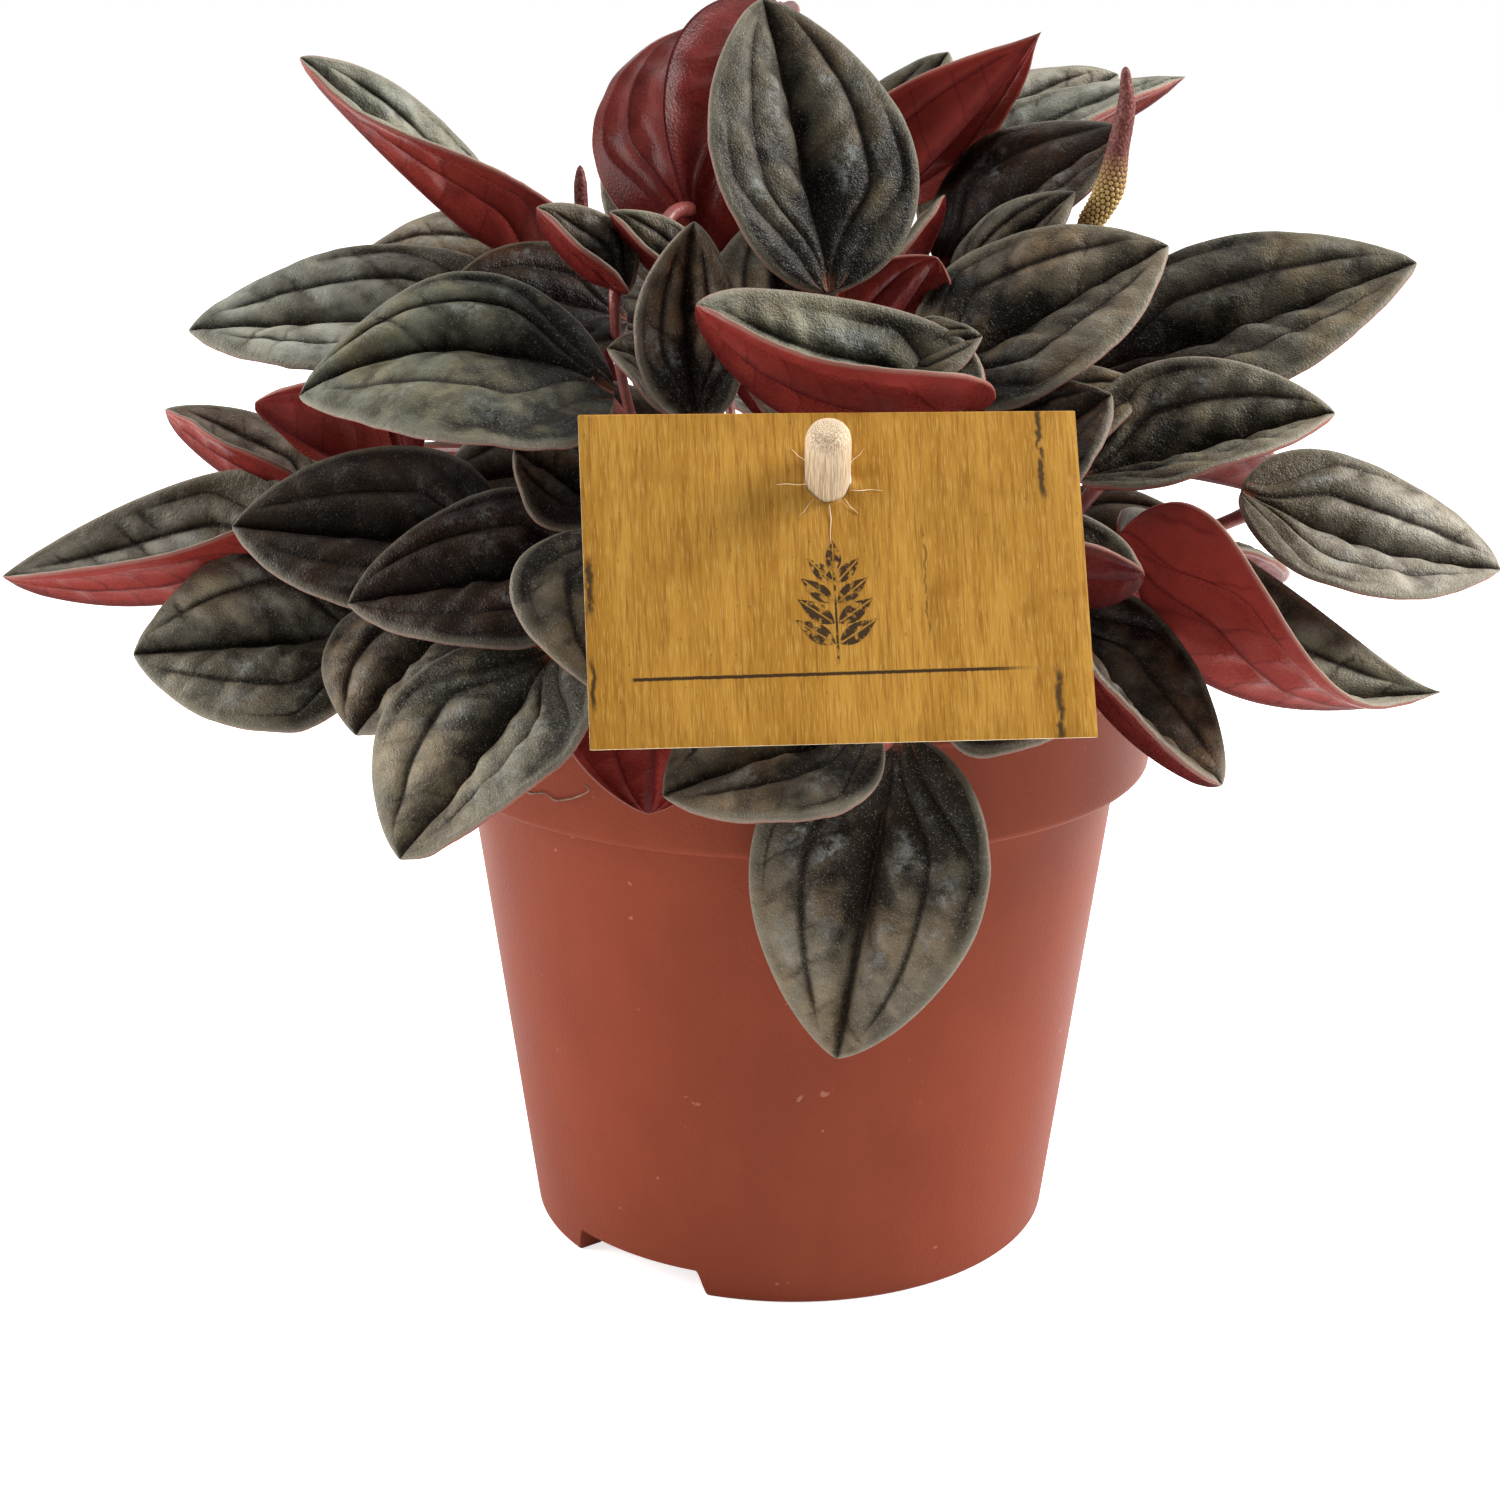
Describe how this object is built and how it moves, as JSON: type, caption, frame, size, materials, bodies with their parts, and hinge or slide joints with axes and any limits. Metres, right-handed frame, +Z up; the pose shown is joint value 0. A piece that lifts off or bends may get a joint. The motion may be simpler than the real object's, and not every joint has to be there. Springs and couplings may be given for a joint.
{
  "type": "ripple peperomia in a nursery pot",
  "caption": "Ripple-leaved peperomia growing in a terracotta-coloured plastic nursery pot, with a blank plant label hung on a bevelled wooden stick.",
  "frame": {"origin": "centre of the pot's underside, on the surface it stands on", "axes": "+Z up the pot's axis, -Y towards the side the label faces, +X to the label's right as seen from the front"},
  "size_m": [0.244, 0.2047, 0.208],
  "materials": {
    "pot": "satin",
    "soil": "matte",
    "crown": "satin",
    "leaf": "satin",
    "spike": "matte",
    "card": "satin",
    "stick": "matte"
  },
  "bodies": {
    "root": {"nursery_pot": "pot", "potting_soil": "soil", "crown": "crown", "label_card": "card", "label_stick": "stick", "flower_spike_right": "spike", "flower_spike_left": "spike", "leaf_01": "leaf", "leaf_02": "leaf", "leaf_03": "leaf", "leaf_04": "leaf", "leaf_05": "leaf", "leaf_06": "leaf", "leaf_07": "leaf", "leaf_08": "leaf", "leaf_09": "leaf", "leaf_10": "leaf", "leaf_11": "leaf", "leaf_12": "leaf", "leaf_13": "leaf", "leaf_14": "leaf", "leaf_15": "leaf", "leaf_16": "leaf", "leaf_17": "leaf", "leaf_18": "leaf", "leaf_19": "leaf", "leaf_20": "leaf", "leaf_21": "leaf", "leaf_22": "leaf", "leaf_23": "leaf", "leaf_24": "leaf", "leaf_25": "leaf", "leaf_26": "leaf", "leaf_27": "leaf", "leaf_28": "leaf", "leaf_29": "leaf", "leaf_30": "leaf", "leaf_31": "leaf", "leaf_32": "leaf", "leaf_33": "leaf", "leaf_34": "leaf", "leaf_35": "leaf", "leaf_36": "leaf", "leaf_37": "leaf", "leaf_38": "leaf", "leaf_39": "leaf", "leaf_40": "leaf", "leaf_41": "leaf", "leaf_42": "leaf", "leaf_43": "leaf", "leaf_44": "leaf", "leaf_45": "leaf", "leaf_46": "leaf", "leaf_47": "leaf", "leaf_48": "leaf", "leaf_49": "leaf", "leaf_50": "leaf", "leaf_51": "leaf", "leaf_52": "leaf", "leaf_53": "leaf"}
  },
  "joints": []
}
